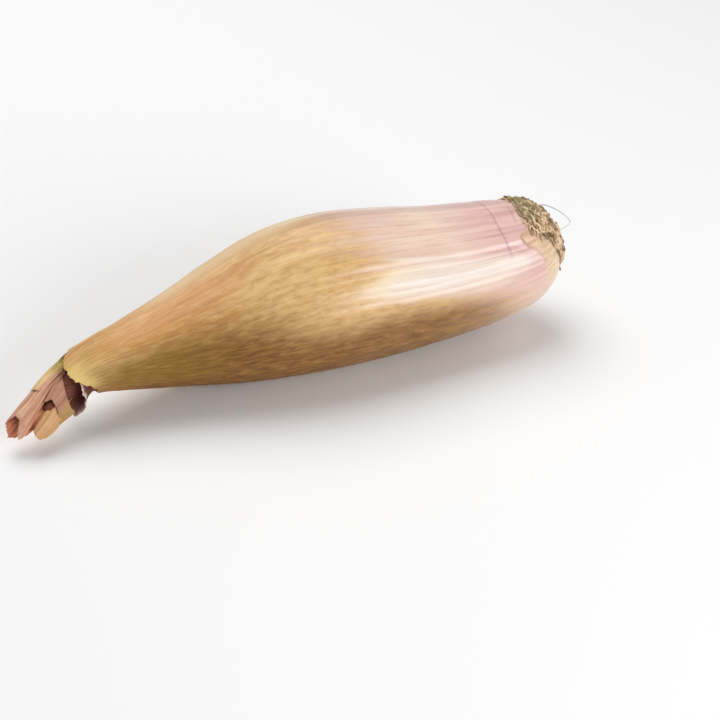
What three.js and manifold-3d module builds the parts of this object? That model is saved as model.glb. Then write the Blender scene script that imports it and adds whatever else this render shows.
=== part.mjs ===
// Banana shallot, lying on its belly: a long golden bulb with a slanted crown of dry roots at one end and, at the
// other, a torn skin collar, an inner sheath that flares out of it, and a bundle of dried leaf bases.
//
// Millimetres. +X runs along the bulb towards the root end, +Z is up, and the bulb rests on z = 0.
// The bulb is laid out about its own belly, and the last group moves the middle of its footprint to the origin.
// Angles round the bulb start at its top and run over the front (-Y) to the underside.

import * as THREE from "three";
import { mergeVertices } from "three/addons/utils/BufferGeometryUtils.js";
import Module from "manifold-3d";

const wasm = await Module();
wasm.setup();

const TURN = 2 * Math.PI;
const DEGREE = Math.PI / 180;

// ---------------------------------------------------------------- driving dimensions

// Middle of the footprint in the bulb's own layout, which the last group brings to the origin.
const FOOTPRINT_CENTRE = { x: -3.9, y: 0 };

// The bulb's rings, from the torn collar to the rim of the root seat: middle of the ring, its radius, and how far
// the ring's axis is pitched up and turned to the back, in degrees.
const STATIONS = [
  { x: -62.7, y: -4.1, z: 14.1, r: 6.6, pitch: 23, yaw: 14 },
  { x: -57, y: -3.0, z: 15.1, r: 7.4, pitch: 11, yaw: 8 },
  { x: -48, y: -2.1, z: 15.5, r: 9.4, pitch: 7, yaw: 5 },
  { x: -35, y: -1.2, z: 16.4, r: 12.7, pitch: 6, yaw: 3 },
  { x: -21, y: -0.5, z: 18.1, r: 16.7, pitch: 6, yaw: 1 },
  { x: -7, y: -0.1, z: 20.1, r: 19.8, pitch: 4, yaw: 0 },
  { x: 8, y: 0, z: 20.65, r: 21.0, pitch: 1, yaw: 0 },
  { x: 24, y: -0.2, z: 19.9, r: 20.2, pitch: 0, yaw: 0 },
  { x: 40, y: -0.7, z: 19.5, r: 18.6, pitch: 4, yaw: 3 },
  { x: 53, y: -1.3, z: 20.2, r: 17.4, pitch: 10, yaw: 7 },
  { x: 61.3, y: -1.6, z: 21.4, r: 16.1, pitch: 14, yaw: 10 },
  { x: 66.7, y: -1.8, z: 23.6, r: 13.5, pitch: 17, yaw: 13 },
  { x: 68.9, y: -1.9, z: 25.1, r: 10.5, pitch: 17.3, yaw: 13.2 },
];
const NECK = STATIONS[0];
const RIM = STATIONS[STATIONS.length - 1];

const LOBES = [
  { count: 2, phase: 0.4, height: 0.22 },
  { count: 5, phase: 1.1, height: 0.2 },
  { count: 9, phase: 2.3, height: 0.1 },
];
const RIBS = { count: 24, height: 0.2, sway: 0.9 };

// The torn collar: its wall and bore, the raggedness of its edge, and the notches torn into it low on the front.
const COLLAR = { wall: 0.7, bore: 5.9, depth: 9, reach: 9 };
const COLLAR_TEARS = [
  { count: 3, phase: 0.9, height: 0.25 },
  { count: 7, phase: 2.6, height: 0.3 },
];
const NOTCHES = [
  { angle: 2.1, width: 0.42, depth: 2.2 },
  { angle: 3.0, width: 0.7, depth: 1.5 },
];

const SEAT = { radius: 9.4, depth: 1.5 };
const CLEARANCE = 0.35; // between one piece and the next

const CROWN = { plug: 9.0, rim: 10.4, height: 2.6 };
const SHOULDER = { slope: 0.5, gap: 1.3 }; // the roots stay this far off the skin, which falls away from the rim
const ROOTS = [
  { count: 30, radius: 9.6, start: 1.1, out: 4.2, up: 1.6, fall: 3.6, swirl: 2.2, thick: 0.85 },
  { count: 18, radius: 8.2, start: 1.8, out: 3.8, up: 2.4, fall: 1.8, swirl: 2.4, thick: 0.8 },
  { count: 9, radius: 4.6, start: 2.2, out: 1.8, up: 2.6, fall: 0.8, swirl: 1.6, thick: 0.75 },
];

// The inner sheath: a cup in the collar, whose rim flares where the collar is torn away, low on the front.
const SHEATH = { bore: 4.9, wall: 0.6, bottom: 6.2, rim: 0.4, flareAngle: 2.8, flareOut: 3.3, flareOn: 5 };

// Line of the dried leaf bundle, from inside the sheath to its tip, and the way its flat side faces.
const BUNDLE_LINE = [
  [-58.9, -3.2, 15.5],
  [-63.2, -4.4, 13.7],
  [-68.1, -6.8, 11.1],
  [-73.1, -9.7, 8.6],
  [-80.8, -13.6, 5.1],
];
const BUNDLE_FACE = new THREE.Vector3(-0.31, -0.78, 0.54);
const LEAF_THICKNESS = 0.8;

// ---------------------------------------------------------------- small tools

// One repeatable stream of numbers between 0 and 1.
function drawing(seed) {
  let state = seed;
  return () => {
    state = (state * 16807) % 2147483647;
    return state / 2147483647;
  };
}

function smoothstep(from, to, x) {
  const t = Math.min(1, Math.max(0, (x - from) / (to - from)));
  return t * t * (3 - 2 * t);
}

// Sum of sine waves round the bulb.
function waves(list, angle) {
  return list.reduce((sum, w) => sum + w.height * Math.sin(w.count * angle + w.phase), 0);
}

function solid(positions, index) {
  return new THREE.BufferGeometry()
    .setAttribute("position", new THREE.Float32BufferAttribute(positions, 3))
    .setIndex(index);
}

// A closed skin over rings of points, with the first and last rings closed by a fan to their middle.
function ringSolid(rows) {
  const around = rows[0].length;
  const positions = rows.flat().flatMap((p) => [p.x, p.y, p.z]);
  const index = [];
  const at = (row, k) => row * around + (k % around);
  for (let row = 0; row + 1 < rows.length; row++) {
    for (let k = 0; k < around; k++) {
      index.push(at(row, k), at(row, k + 1), at(row + 1, k));
      index.push(at(row + 1, k), at(row, k + 1), at(row + 1, k + 1));
    }
  }
  const cap = (row, flip) => {
    const middle = new THREE.Vector3();
    rows[row].forEach((p) => middle.addScaledVector(p, 1 / around));
    const centre = positions.length / 3;
    positions.push(middle.x, middle.y, middle.z);
    for (let k = 0; k < around; k++) {
      if (flip) index.push(at(row, k + 1), at(row, k), centre);
      else index.push(at(row, k), at(row, k + 1), centre);
    }
  };
  cap(0, true);
  cap(rows.length - 1, false);
  return solid(positions, index);
}

// A thin closed shell of even thickness over a grid of points.
function shellSolid(grid, thickness) {
  const rows = grid.length;
  const columns = grid[0].length;
  const point = (i, j) => grid[Math.min(rows - 1, Math.max(0, i))][Math.min(columns - 1, Math.max(0, j))];
  const faces = [1, -1].map((side) =>
    grid.map((row, i) =>
      row.map((p, j) => {
        const along = point(i + 1, j).clone().sub(point(i - 1, j));
        const across = point(i, j + 1).clone().sub(point(i, j - 1));
        const normal = along.cross(across).normalize();
        return p.clone().addScaledVector(normal, (side * thickness) / 2);
      }),
    ),
  );
  const index = [];
  const at = (side, i, j) => (side * rows + i) * columns + j;
  const quad = (a, b, c, d) => index.push(a, b, c, a, c, d);
  for (let i = 0; i + 1 < rows; i++) {
    for (let j = 0; j + 1 < columns; j++) {
      quad(at(0, i, j), at(0, i + 1, j), at(0, i + 1, j + 1), at(0, i, j + 1));
      index.push(at(1, i, j), at(1, i + 1, j + 1), at(1, i + 1, j));
      index.push(at(1, i, j), at(1, i, j + 1), at(1, i + 1, j + 1));
    }
  }
  const [lastRow, lastColumn] = [rows - 1, columns - 1];
  for (let i = 0; i + 1 < rows; i++) {
    quad(at(0, i + 1, 0), at(0, i, 0), at(1, i, 0), at(1, i + 1, 0));
    quad(at(0, i, lastColumn), at(0, i + 1, lastColumn), at(1, i + 1, lastColumn), at(1, i, lastColumn));
  }
  for (let j = 0; j + 1 < columns; j++) {
    quad(at(0, 0, j), at(0, 0, j + 1), at(1, 0, j + 1), at(1, 0, j));
    quad(at(0, lastRow, j + 1), at(0, lastRow, j), at(1, lastRow, j), at(1, lastRow, j + 1));
  }
  return solid(faces.flat(2).flatMap((p) => [p.x, p.y, p.z]), index);
}

function toManifold(geometry) {
  const bare = geometry.clone();
  bare.deleteAttribute("normal");
  bare.deleteAttribute("uv");
  const merged = mergeVertices(bare, 1e-4);
  return new wasm.Manifold(
    new wasm.Mesh({
      numProp: 3,
      vertProperties: new Float32Array(merged.attributes.position.array),
      triVerts: new Uint32Array(merged.index.array),
    }),
  );
}

function toGeometry(manifold) {
  const mesh = manifold.getMesh();
  return solid(Array.from(mesh.vertProperties), Array.from(mesh.triVerts));
}

// The biggest of the closed skins that a solid is made of.
function biggest(manifold) {
  return manifold.decompose().reduce((a, b) => (b.volume() > a.volume() ? b : a));
}

// Several solids as one, without sliver faces, and with any pocket left shut between them filled.
function union(geometries) {
  const whole = geometries.map(toManifold).reduce((sum, next) => sum.add(next));
  const clean = biggest(whole.simplify(0.02));
  return biggest(toManifold(toGeometry(clean)));
}

// A round stem of tapering thickness along a curve.
function stemSolid(points, thickFrom, thickTo, sides, steps = points.length) {
  const curve = new THREE.CatmullRomCurve3(points);
  const frames = curve.computeFrenetFrames(steps, false);
  const rows = [];
  for (let i = 0; i <= steps; i++) {
    const centre = curve.getPointAt(i / steps);
    const radius = (thickFrom + ((thickTo - thickFrom) * i) / steps) / 2;
    const row = [];
    for (let k = 0; k < sides; k++) {
      const angle = (TURN * k) / sides;
      row.push(
        centre
          .clone()
          .addScaledVector(frames.normals[i], radius * Math.cos(angle))
          .addScaledVector(frames.binormals[i], radius * Math.sin(angle)),
      );
    }
    rows.push(row);
  }
  return ringSolid(rows);
}

// ---------------------------------------------------------------- rings of the bulb

// The ring at a place between the stations: 0 is the collar, and the last station is the rim of the root seat.
function ringAt(u) {
  const i = Math.min(STATIONS.length - 2, Math.floor(u));
  const t = u - i;
  const near = [-1, 0, 1, 2].map((k) => STATIONS[Math.min(STATIONS.length - 1, Math.max(0, i + k))]);
  const weights = [
    -0.5 * t + t * t - 0.5 * t ** 3,
    1 - 2.5 * t * t + 1.5 * t ** 3,
    0.5 * t + 2 * t * t - 1.5 * t ** 3,
    -0.5 * t * t + 0.5 * t ** 3,
  ];
  const mix = (key) => near.reduce((sum, s, k) => sum + weights[k] * s[key], 0);
  return { x: mix("x"), y: mix("y"), z: mix("z"), r: mix("r"), pitch: mix("pitch"), yaw: mix("yaw") };
}

// The directions of a ring: along its axis towards the root end, up, and front.
function ringAxes({ pitch, yaw }) {
  const [p, y] = [pitch * DEGREE, yaw * DEGREE];
  const along = new THREE.Vector3(Math.cos(p) * Math.cos(y), Math.cos(p) * Math.sin(y), Math.sin(p));
  const up = new THREE.Vector3(0, 0, 1).addScaledVector(along, -along.z).normalize();
  return { along, up, front: along.clone().cross(up) };
}

// A point of a ring at an angle and distance from its middle, moved along its axis by shift.
function onRing(ring, radius, angle, shift = 0) {
  const { along, up, front } = ringAxes(ring);
  return new THREE.Vector3(ring.x, ring.y, ring.z)
    .addScaledVector(up, radius * Math.cos(angle))
    .addScaledVector(front, radius * Math.sin(angle))
    .addScaledVector(along, shift);
}

// ---------------------------------------------------------------- bulb

// Low relief of the skin: broad lobes with narrow ribs over them, which run out towards both ends.
function relief(angle, radius) {
  const rib = Math.pow(0.5 + 0.5 * Math.cos(RIBS.count * angle + RIBS.sway * Math.sin(3 * angle)), 2);
  return (waves(LOBES, angle) + RIBS.height * rib) * Math.min(1, radius / 18);
}

// How far the torn collar's edge is set back at an angle.
function collarEdge(angle) {
  const notches = NOTCHES.map((n) => n.depth * Math.exp(-(((angle - n.angle) / n.width) ** 2)));
  return waves(COLLAR_TEARS, angle) + notches.reduce((a, b) => a + b);
}

function bulbGeometry() {
  const around = 96;
  const rows = [];
  const addRow = (ring, radius, { tear = 0, skin = 0, shift = 0 }) => {
    const row = [];
    for (let k = 0; k < around; k++) {
      const angle = (TURN * k) / around;
      const r = radius + skin * relief(angle, radius);
      row.push(onRing(ring, r, angle, shift + tear * collarEdge(angle)));
    }
    rows.push(row);
  };

  addRow(NECK, COLLAR.bore, { shift: COLLAR.depth });
  addRow(NECK, COLLAR.bore, { shift: COLLAR.depth * 0.4, tear: 0.5 });
  addRow(NECK, NECK.r - COLLAR.wall, { tear: 1 });

  const last = STATIONS.length - 1;
  const steps = 26;
  for (let i = 0; i <= steps; i++) {
    const ring = ringAt((last * i) / steps);
    const back = ring.x - NECK.x;
    addRow(ring, ring.r, { tear: 1 - smoothstep(0, COLLAR.reach, back), skin: smoothstep(0, 4, back) });
  }

  addRow(RIM, SEAT.radius + 0.4, { shift: 0.25 });
  addRow(RIM, SEAT.radius, { shift: 0 });
  addRow(RIM, SEAT.radius, { shift: -SEAT.depth });

  const table = new THREE.BoxGeometry(200, 80, 10).translate(0, 0, -5);
  return toGeometry(toManifold(ringSolid(rows)).subtract(toManifold(table)));
}

// ---------------------------------------------------------------- root crown

function crownGeometry() {
  const draw = drawing(20817);
  const around = 40;
  const lumps = [
    { count: 5, phase: 0.3, height: 0.16 },
    { count: 11, phase: 1.7, height: 0.1 },
  ];
  const profile = [
    { shift: CLEARANCE - SEAT.depth, radius: CROWN.plug },
    { shift: CLEARANCE + 0.25, radius: CROWN.plug },
    { shift: CLEARANCE + 0.35, radius: CROWN.rim - 0.2, rough: 1 },
    { shift: 1.4, radius: CROWN.rim, rough: 1 },
    { shift: CROWN.height - 0.5, radius: CROWN.rim - 1.7, rough: 1 },
    { shift: CROWN.height, radius: CROWN.rim - 4.5, rough: 0.5 },
    { shift: CROWN.height - 0.3, radius: CROWN.rim - 8, rough: 0 },
  ];
  const rows = profile.map(({ shift, radius, rough = 0 }) => {
    const row = [];
    for (let k = 0; k < around; k++) {
      const angle = (TURN * k) / around;
      row.push(onRing(RIM, radius + rough * waves(lumps, angle), angle, shift));
    }
    return row;
  });
  const pieces = [ringSolid(rows)];

  for (const ring of ROOTS) {
    for (let n = 0; n < ring.count; n++) {
      const angle = (TURN * (n + 0.7 * draw())) / ring.count;
      const out = ring.out * (0.6 + 0.7 * draw());
      const up = ring.up * (0.6 + 0.8 * draw());
      const swirl = ring.swirl * (2 * draw() - 1);
      const points = [0, 0.25, 0.5, 0.75, 1].map((s) => {
        const radius = ring.radius - 0.8 + out * s;
        const curl = (swirl * Math.sin(2.6 * s)) / (ring.radius + 2);
        const free = ring.start - 0.4 + up * s - ring.fall * s * s;
        const lowest = SHOULDER.gap - SHOULDER.slope * (radius - RIM.r);
        return onRing(RIM, radius, angle + curl, Math.max(free, lowest));
      });
      pieces.push(stemSolid(points, ring.thick * 1.5, ring.thick * 0.9, 4, 4));
    }
  }
  return toGeometry(union(pieces));
}

// ---------------------------------------------------------------- inner sheath

// How strongly the sheath flares at an angle: fully where the collar is torn away, not at all across from there.
function flare(angle) {
  return Math.pow(0.5 + 0.5 * Math.cos(angle - SHEATH.flareAngle), 6);
}

function sheathGeometry() {
  const around = 36;
  const tear = [
    { count: 4, phase: 0.5, height: 0.3 },
    { count: 9, phase: 1.0, height: 0.25 },
  ];
  const outer = SHEATH.bore + SHEATH.wall;
  // [shift from the collar, radius, share of the flare onwards, share of the flare outwards]
  const profile = [
    [SHEATH.bottom - SHEATH.wall, SHEATH.bore - 0.3, 0, 0],
    [3.4, SHEATH.bore, 0, 0],
    [1.4, SHEATH.bore, 0, 0],
    [0.9, SHEATH.bore, 0.5, 0.04],
    [SHEATH.rim, SHEATH.bore, 1, 1],
    [SHEATH.rim, outer, 1, 1],
    [0.9, outer, 0.5, 0.04],
    [1.4, outer, 0, 0],
    [3.4, outer, 0, 0],
    [SHEATH.bottom, outer - 0.3, 0, 0],
  ];
  const rows = profile.map(([shift, radius, on, out]) => {
    const row = [];
    for (let k = 0; k < around; k++) {
      const angle = (TURN * k) / around;
      const f = flare(angle);
      const ragged = on === 1 ? f * waves(tear, angle) : 0;
      row.push(onRing(NECK, radius + SHEATH.flareOut * out * f, angle, shift - SHEATH.flareOn * on * f + ragged));
    }
    return row;
  });
  return ringSolid(rows);
}

// ---------------------------------------------------------------- dried leaf bundle

const bundleCurve = new THREE.CatmullRomCurve3(BUNDLE_LINE.map((p) => new THREE.Vector3(...p)));

// Place on the bundle's line, with the way its flat side faces and the way across it, which runs down.
function bundleFrame(t) {
  const centre = bundleCurve.getPointAt(t);
  const along = bundleCurve.getTangentAt(t);
  const face = BUNDLE_FACE.clone().addScaledVector(along, -BUNDLE_FACE.dot(along)).normalize();
  return { centre, along, face, across: face.clone().cross(along) };
}

// How far the leaves have spread from the narrow mouth of the sheath, before they close up towards the tip.
function spread(t) {
  return 0.66 + 0.36 * smoothstep(0.22, 0.36, t) - 0.2 * smoothstep(0.4, 1, t);
}

// One dried leaf base: a sheet whose cross-section is a smooth line of [across, towards the face] points.
function leafShell({ section, from, to, tears }) {
  const [rows, columns] = [10, 12];
  const line = new THREE.SplineCurve(section.map(([w, h]) => new THREE.Vector2(w, h)));
  const grid = [];
  for (let i = 0; i <= rows; i++) {
    const row = [];
    for (let j = 0; j <= columns; j++) {
      const end = to + tears.reduce((sum, w) => sum + w.height * Math.sin((w.count * Math.PI * j) / columns + w.phase), 0);
      const t = Math.min(1, from + ((end - from) * i) / rows);
      const f = bundleFrame(t);
      const p = line.getPoint(j / columns).multiplyScalar(spread(t));
      row.push(f.centre.addScaledVector(f.across, p.x).addScaledVector(f.face, p.y));
    }
    grid.push(row);
  }
  return shellSolid(grid, LEAF_THICKNESS);
}

const LEAVES = [
  // the outermost leaf, which lies over the back and the upper edge and is broken off short
  {
    section: [
      [2.5, -2.7],
      [-1.5, -2.6],
      [-4.9, -1.6],
      [-5.9, 0.1],
      [-4.6, 1.3],
    ],
    from: 0.14,
    to: 0.68,
    tears: [{ count: 5, phase: 0.6, height: 0.05 }],
  },
  // the broad folded leaf that faces the front and runs to the tip
  {
    section: [
      [-5.2, -0.9],
      [-4.9, 0.7],
      [-2.6, 1.0],
      [-0.2, 2.3],
      [1.2, 0.9],
      [3.4, 0.6],
    ],
    from: 0.16,
    to: 0.96,
    tears: [{ count: 5, phase: 1.2, height: 0.045 }],
  },
  // the lower leaf, which swells out under the fold like a spoon
  {
    section: [
      [1.0, -0.5],
      [2.8, 1.0],
      [5.0, 1.0],
      [5.8, -0.6],
      [4.2, -2.3],
      [1.2, -2.4],
    ],
    from: 0.18,
    to: 0.88,
    tears: [{ count: 4, phase: 0.2, height: 0.05 }],
  },
];

function bundleGeometry() {
  const core = [0, 0.12, 0.24, 0.36, 0.48, 0.6].map((t) => bundleFrame(t).centre);
  return toGeometry(union([stemSolid(core, 7.4, 3.4, 14), ...LEAVES.map(leafShell)]));
}

// ---------------------------------------------------------------- the part

const shallot = new THREE.Group();

function addPiece(name, geometry, color, roughness) {
  const mesh = new THREE.Mesh(geometry, new THREE.MeshStandardMaterial({ color, roughness, metalness: 0 }));
  mesh.name = name;
  shallot.add(mesh);
}

addPiece("bulb", bulbGeometry(), 0xd9a86c, 0.45);
addPiece("root_crown", crownGeometry(), 0x8d7a4f, 0.9);
addPiece("inner_sheath", sheathGeometry(), 0x6e2f36, 0.7);
addPiece("dry_leaves", bundleGeometry(), 0xbd8a72, 0.75);

shallot.position.set(-FOOTPRINT_CENTRE.x, -FOOTPRINT_CENTRE.y, 0);

const part = new THREE.Group();
part.add(shallot);

export default part;
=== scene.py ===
import math

import bpy
import numpy as np
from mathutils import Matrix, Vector


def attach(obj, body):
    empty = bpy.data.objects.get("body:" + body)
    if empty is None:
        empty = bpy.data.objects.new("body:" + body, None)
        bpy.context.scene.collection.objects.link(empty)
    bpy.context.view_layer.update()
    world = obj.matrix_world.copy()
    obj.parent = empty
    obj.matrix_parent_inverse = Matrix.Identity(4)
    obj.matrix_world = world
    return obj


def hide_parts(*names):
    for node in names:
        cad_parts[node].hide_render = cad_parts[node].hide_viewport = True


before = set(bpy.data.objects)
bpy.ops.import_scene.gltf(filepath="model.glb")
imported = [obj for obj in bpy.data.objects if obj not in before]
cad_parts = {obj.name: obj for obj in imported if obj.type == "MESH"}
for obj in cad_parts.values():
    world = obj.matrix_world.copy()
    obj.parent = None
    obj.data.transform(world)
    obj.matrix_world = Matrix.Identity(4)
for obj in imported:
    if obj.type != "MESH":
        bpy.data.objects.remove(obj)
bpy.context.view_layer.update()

# ---------------------------------------------------------------- camera
# A short telephoto lens stands 45 cm off, to the left of the shallot's front, and looks down at its belly.
# It is aimed to the right of the belly and below it, so that the shallot lies in the upper left of the
# frame, and held one degree off level.

MM = 0.001
BELLY = np.array([3.9, 0.0, 21.65])
camera_distance = 453
camera_turn, camera_tilt, camera_roll = math.radians(-21.5), math.radians(33), 0.018
towards_camera = np.array([
    math.sin(camera_turn) * math.cos(camera_tilt),
    -math.cos(camera_turn) * math.cos(camera_tilt),
    math.sin(camera_tilt),
])
picture_right = np.array([math.cos(camera_turn), math.sin(camera_turn), 0.0])
picture_up = np.cross(towards_camera, picture_right)
aim = BELLY + 15.8 * picture_right - 18.05 * picture_up


def look(thing, place, target):
    """Sets a camera or a light at a place, in millimetres, and turns it to a target."""
    bpy.context.scene.collection.objects.link(thing)
    thing.location = Vector(place) * MM
    thing.rotation_euler = Vector(target - place).to_track_quat("-Z", "Y").to_euler()


lens = bpy.data.cameras.new("camera")
lens.lens = 85
lens.sensor_width = 36
camera = bpy.data.objects.new("camera", lens)
look(camera, BELLY + camera_distance * towards_camera, aim)
camera.rotation_euler.rotate_axis("Z", camera_roll)
bpy.context.scene.camera = camera

# ---------------------------------------------------------------- table and light
# The shallot lies on a plain white table top, which is three metres across and painted matt.
# A big soft lamp stands low at the front right, another hangs over the table, and the room is white.

table_reach = 1.5
room_strength = 0.27


class Shade:
    """A socket of a material, worked with as a number: each sum or product adds its Math node."""

    def __init__(self, tree, socket):
        self.tree = tree
        self.socket = socket

    def node(self, kind, settings=(), values=(), out=0):
        """Any other node: its settings are made first, and then the values or links of its sockets."""
        made = self.tree.nodes.new(kind)
        for key, setting in dict(settings).items():
            setattr(made, key, setting)
        for key, value in dict(values).items():
            if isinstance(value, Shade):
                self.tree.links.new(value.socket, made.inputs[key])
            else:
                made.inputs[key].default_value = value
        return Shade(self.tree, made.outputs[out])

    def math(self, operation, *operands):
        return self.node("ShaderNodeMath", {"operation": operation}, enumerate(operands))

    def __add__(self, other):
        return self.math("ADD", self, other)

    __radd__ = __add__

    def __sub__(self, other):
        return self.math("SUBTRACT", self, other)

    def __rsub__(self, other):
        return self.math("SUBTRACT", other, self)

    def __mul__(self, other):
        return self.math("MULTIPLY", self, other)

    __rmul__ = __mul__

    def __truediv__(self, other):
        return self.math("DIVIDE", self, other)

    def __pow__(self, other):
        return self.math("POWER", self, other)

    def step(self, start, end):
        """A smooth rise from 0 at start to 1 at end, or a fall where end is the lower."""
        kind = {"interpolation_type": "SMOOTHSTEP"}
        low, high = (0.0, 1.0) if start < end else (1.0, 0.0)
        ends = {0: self, 1: min(start, end), 2: max(start, end), 3: low, 4: high}
        return self.node("ShaderNodeMapRange", kind, ends)

    def near(self, width):
        """A bell, 1 where the value is nothing and gone at about twice the width."""
        return self.math("EXPONENT", -1 * (self / width) ** 2)

    def grain(self, stretch, scale, detail, roughness):
        """Noise over a vector that is stretched first, as a number from 0 to 1."""
        stretched = self.node("ShaderNodeVectorMath", {"operation": "MULTIPLY"}, {0: self, 1: stretch})
        sizes = {"Vector": stretched, "Scale": scale, "Detail": detail, "Roughness": roughness}
        return self.node("ShaderNodeTexNoise", {}, sizes)

    def blend(self, under, over):
        """Two colours mixed, this value being the share of the second."""
        return self.node("ShaderNodeMix", {"data_type": "RGBA"}, {0: self, 6: under, 7: over}, out=2)

    def bumps(self, strength, depth):
        """This value as the height of small bumps, with their depth in millimetres."""
        sizes = {"Height": self, "Strength": strength, "Distance": depth * MM}
        return self.node("ShaderNodeBump", {}, sizes, out="Normal")


def colour(red, green, blue):
    """A colour given as the usual 0 to 255, for a shader."""
    return tuple(((v / 255 + 0.055) / 1.055) ** 2.4 for v in (red, green, blue)) + (1.0,)


def finish(name, **constants):
    """A new material with its constant values set: the material and its main shader's tree as a Shade."""
    made = bpy.data.materials.new(name)
    made.use_nodes = True
    shader = made.node_tree.nodes["Principled BSDF"]
    for key, value in constants.items():
        shader.inputs[key.replace("_", " ")].default_value = value
    return made, Shade(made.node_tree, shader.outputs[0])


def wire(shade, **values):
    """Links what changes over the surface to the main shader's sockets."""
    shader = shade.socket.node
    for key, value in values.items():
        shade.tree.links.new(value.socket, shader.inputs[key.replace("_", " ")])


def attribute(shade, name):
    """Three numbers that the mesh carries at its points, as one vector and as three values."""
    vector = shade.node("ShaderNodeAttribute", {"attribute_name": name}, out="Vector")
    split = [vector.node("ShaderNodeSeparateXYZ", {}, {0: vector}, out=k) for k in range(3)]
    return vector, split


corners = [(-1, -1), (1, -1), (1, 1), (-1, 1)]
table_top = bpy.data.meshes.new("table_top")
table_top.from_pydata([(x * table_reach, y * table_reach, 0) for x, y in corners], [], [(0, 1, 2, 3)])
table = bpy.data.objects.new("table", table_top)
bpy.context.scene.collection.objects.link(table)
paint, _ = finish("white_paint", Base_Color=(0.9, 0.9, 0.9, 1), Roughness=0.8)
table_top.materials.append(paint)


def lamp(name, direction, distance, width, height, watts):
    """A soft box in a direction from the belly, its distance in millimetres and its size in metres."""
    light = bpy.data.lights.new(name, "AREA")
    light.shape = "RECTANGLE"
    light.size = width
    light.size_y = height
    light.energy = watts
    way = np.array(direction) / np.linalg.norm(direction)
    look(bpy.data.objects.new(name, light), BELLY + distance * way, BELLY)


lamp("front_lamp", (0.43, -0.87, 0.38), 700, 0.42, 0.32, 2.85)
lamp("over_lamp", (-0.1, 0.45, 1), 900, 0.8, 0.8, 6.7)
room = bpy.data.worlds.new("room")
room.use_nodes = True
room.node_tree.nodes["Background"].inputs["Color"].default_value = (1, 1, 1, 1)
room.node_tree.nodes["Background"].inputs["Strength"].default_value = room_strength
bpy.context.scene.world = room
bpy.context.scene.view_settings.view_transform = "Standard"

# ---------------------------------------------------------------- bulb
# The bulb is wrapped in a dry outer skin, golden at the neck and pink towards the roots, with veins along
# it. The skin grows as one bag. It is torn into a collar at the neck, and near the roots it ends in a torn
# edge over a cream inner skin.

# Rings of the bulb from the collar to the rim of the root seat, in millimetres: the middle of the ring,
# its radius, and how far its axis is pitched up and turned to the back, in degrees.
STATIONS = np.array([
    (-58.8, -4.1, 14.1, 6.6, 23, 14),
    (-53.1, -3.0, 15.1, 7.4, 11, 8),
    (-44.1, -2.1, 15.5, 9.4, 7, 5),
    (-31.1, -1.2, 16.4, 12.7, 6, 3),
    (-17.1, -0.5, 18.1, 16.7, 6, 1),
    (-3.1, -0.1, 20.1, 19.8, 4, 0),
    (11.9, 0, 20.65, 21.0, 1, 0),
    (27.9, -0.2, 19.9, 20.2, 0, 0),
    (43.9, -0.7, 19.5, 18.6, 4, 3),
    (56.9, -1.3, 20.2, 17.4, 10, 7),
    (65.2, -1.6, 21.4, 16.1, 14, 10),
    (70.6, -1.8, 23.6, 13.5, 17, 13),
    (72.8, -1.9, 25.1, 10.5, 17.3, 13.2),
])
NECK, RIM = STATIONS[0], STATIONS[-1]
TURN = 2 * math.pi
VEINS = 64
WRAP = 20.0  # radius, in millimetres, of the cylinder that carries the skin's pattern


def rise(start, end, x):
    """A smooth rise from 0 at start to 1 at end."""
    t = np.clip((x - start) / (end - start), 0, 1)
    return t * t * (3 - 2 * t)


def bell(x, width):
    """1 where x is nothing, and gone at about twice the width."""
    return np.exp(-((x / width) ** 2))


def read(x, pairs):
    """Values that are given at a few places, read off at x on straight lines between them."""
    places, values = zip(*pairs)
    return np.interp(x, places, values)


def round_degrees(angle):
    """An angle in degrees, from -180 to 180."""
    return (np.degrees(angle) + 180) % 360 - 180


def waves(parts, angle):
    """Sum of sine waves round a ring, each given by its count, phase and height."""
    return sum(height * np.sin(count * angle + phase) for count, phase, height in parts)


def through(rows, place):
    """Values read off a list of rows at any place between them, on a smooth line through them all."""
    last = len(rows) - 1
    i = np.minimum(np.floor(place).astype(int), last - 1)
    t = (place - i)[..., None]
    a, b, c, d = (rows[np.clip(i + k, 0, last)] for k in (-1, 0, 1, 2))
    return (
        a * (-0.5 * t + t**2 - 0.5 * t**3)
        + b * (1 - 2.5 * t**2 + 1.5 * t**3)
        + c * (0.5 * t + 2 * t**2 - 1.5 * t**3)
        + d * (-0.5 * t**2 + 0.5 * t**3)
    )


def on_ring(ring, radius, angle, shift=0.0):
    """Points of rings at an angle from the top over the front, moved along the ring's axis by shift."""
    pitch, yaw = np.radians(ring[..., 4]), np.radians(ring[..., 5])
    along = np.stack([np.cos(pitch) * np.cos(yaw), np.cos(pitch) * np.sin(yaw), np.sin(pitch)], -1)
    up = np.array([0, 0, 1]) - along * along[..., 2:]
    up = up / np.linalg.norm(up, axis=-1, keepdims=True)
    front = np.cross(along, up)
    radius, angle, shift = (np.asarray(v, float)[..., None] for v in (radius, angle, shift))
    return ring[..., :3] + up * radius * np.cos(angle) + front * radius * np.sin(angle) + along * shift


def patches(along, angle, length, count, seed):
    """Smooth random numbers from -1 to 1 over the skin, in cells of a length and a count to the turn."""
    rows = 4 + int(np.max(along) / length)
    table = 2 * np.random.default_rng(seed).random((rows, count)) - 1
    y = np.clip(along / length, 0, rows - 2)
    x = (angle / TURN * count) % count
    i, j = np.floor(y).astype(int), np.floor(x).astype(int)
    u, v = rise(0, 1, y - i), rise(0, 1, x - j)
    j = j % count
    k = (j + 1) % count
    this_row = (1 - v) * table[i, j] + v * table[i, k]
    next_row = (1 - v) * table[i + 1, j] + v * table[i + 1, k]
    return (1 - u) * this_row + u * next_row


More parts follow.
